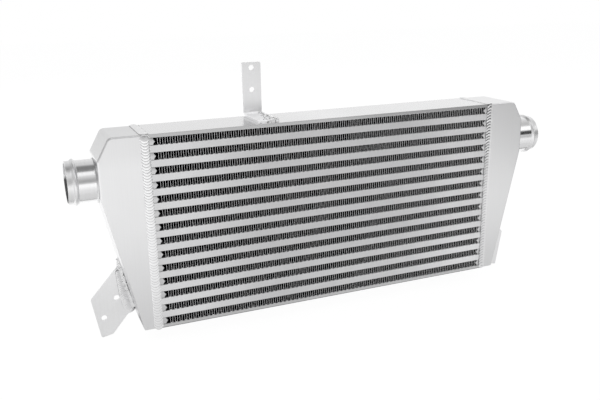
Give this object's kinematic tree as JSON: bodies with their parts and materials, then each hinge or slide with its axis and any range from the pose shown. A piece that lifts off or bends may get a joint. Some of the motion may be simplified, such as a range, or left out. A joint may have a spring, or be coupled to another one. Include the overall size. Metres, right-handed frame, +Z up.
{
  "type": "air-to-air intercooler",
  "caption": "Bar-and-plate aluminium intercooler with finned core, welded tapered end tanks, beaded hose pipes and folded mounting brackets.",
  "frame": {"origin": "centre of the core's underside", "axes": "+X towards the right tank, +Y towards the rear face of the core, +Z up"},
  "size_m": [0.6285, 0.069, 0.3158],
  "materials": {
    "core_bar": "brazed, satin mill finish",
    "fin_strip": "bright rolled strip",
    "tank_plate": "fine brushed satin",
    "turned_tube": "turned and polished",
    "bracket_plate": "rolled plate, satin",
    "weld_metal": "as welded, rippled"
  },
  "bodies": {
    "root": {"cooling_fin_01": "fin_strip", "cooling_fin_02": "fin_strip", "cooling_fin_03": "fin_strip", "cooling_fin_04": "fin_strip", "cooling_fin_05": "fin_strip", "cooling_fin_06": "fin_strip", "cooling_fin_07": "fin_strip", "cooling_fin_08": "fin_strip", "cooling_fin_09": "fin_strip", "cooling_fin_10": "fin_strip", "cooling_fin_11": "fin_strip", "cooling_fin_12": "fin_strip", "cooling_fin_13": "fin_strip", "cooling_fin_14": "fin_strip", "turbulator_01": "fin_strip", "turbulator_02": "fin_strip", "turbulator_03": "fin_strip", "turbulator_04": "fin_strip", "turbulator_05": "fin_strip", "turbulator_06": "fin_strip", "turbulator_07": "fin_strip", "turbulator_08": "fin_strip", "turbulator_09": "fin_strip", "turbulator_10": "fin_strip", "turbulator_11": "fin_strip", "turbulator_12": "fin_strip", "turbulator_13": "fin_strip", "charge_bars_01": "core_bar", "charge_bars_02": "core_bar", "charge_bars_03": "core_bar", "charge_bars_04": "core_bar", "charge_bars_05": "core_bar", "charge_bars_06": "core_bar", "charge_bars_07": "core_bar", "charge_bars_08": "core_bar", "charge_bars_09": "core_bar", "charge_bars_10": "core_bar", "charge_bars_11": "core_bar", "charge_bars_12": "core_bar", "charge_bars_13": "core_bar", "left_end_bars": "core_bar", "right_end_bars": "core_bar", "parting_sheets": "core_bar", "top_end_sheet": "core_bar", "bottom_end_sheet": "core_bar", "left_tank": "tank_plate", "left_lower_bracket": "bracket_plate", "right_tank": "tank_plate", "right_lower_bracket": "bracket_plate", "charge_pipes": "turned_tube", "core_welds": "weld_metal", "pipe_welds": "weld_metal", "lower_bracket_welds": "weld_metal", "top_bracket": "bracket_plate", "top_bracket_weld": "weld_metal"}
  },
  "joints": []
}
